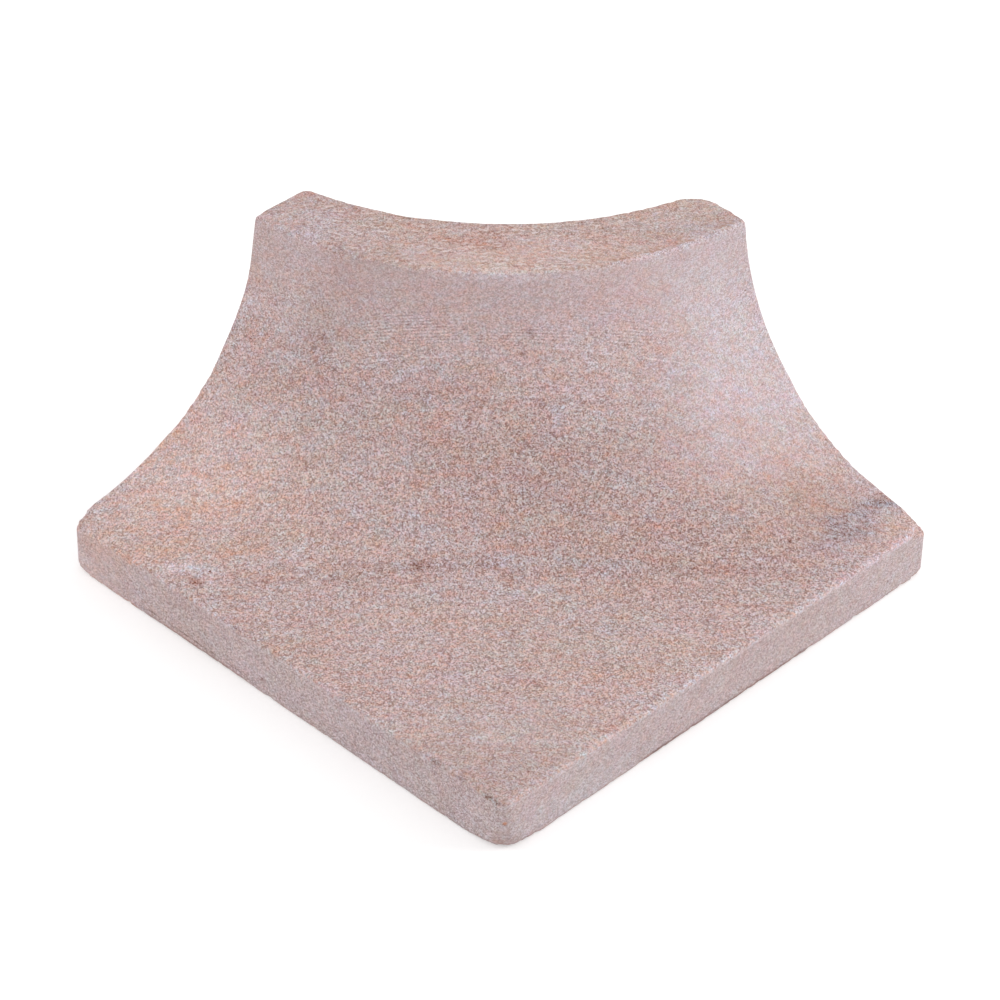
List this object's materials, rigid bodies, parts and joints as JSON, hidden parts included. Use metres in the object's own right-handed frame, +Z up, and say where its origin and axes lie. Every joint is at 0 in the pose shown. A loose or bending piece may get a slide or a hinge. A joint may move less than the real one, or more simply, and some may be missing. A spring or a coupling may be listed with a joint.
{
  "type": "pool corner tile",
  "caption": "Square sandstone corner tile for a pool edge: a flat slab that sweeps up in one large cove to a tall curved lip around the cut-off back corner.",
  "frame": {"origin": "middle of the square plan, on the bed face", "axes": "+Z up from the bed face to the top of the lip; the lip curves around the back corner at -X +Y; the joint faces look to -X and +Y, the slab's outer faces to +X and -Y"},
  "size_m": [0.3, 0.3, 0.15],
  "materials": {
    "corner_tile": "sawn rose sandstone, matt, with a riven top on the lip"
  },
  "bodies": {
    "root": {"corner_tile": "corner_tile"}
  },
  "joints": []
}
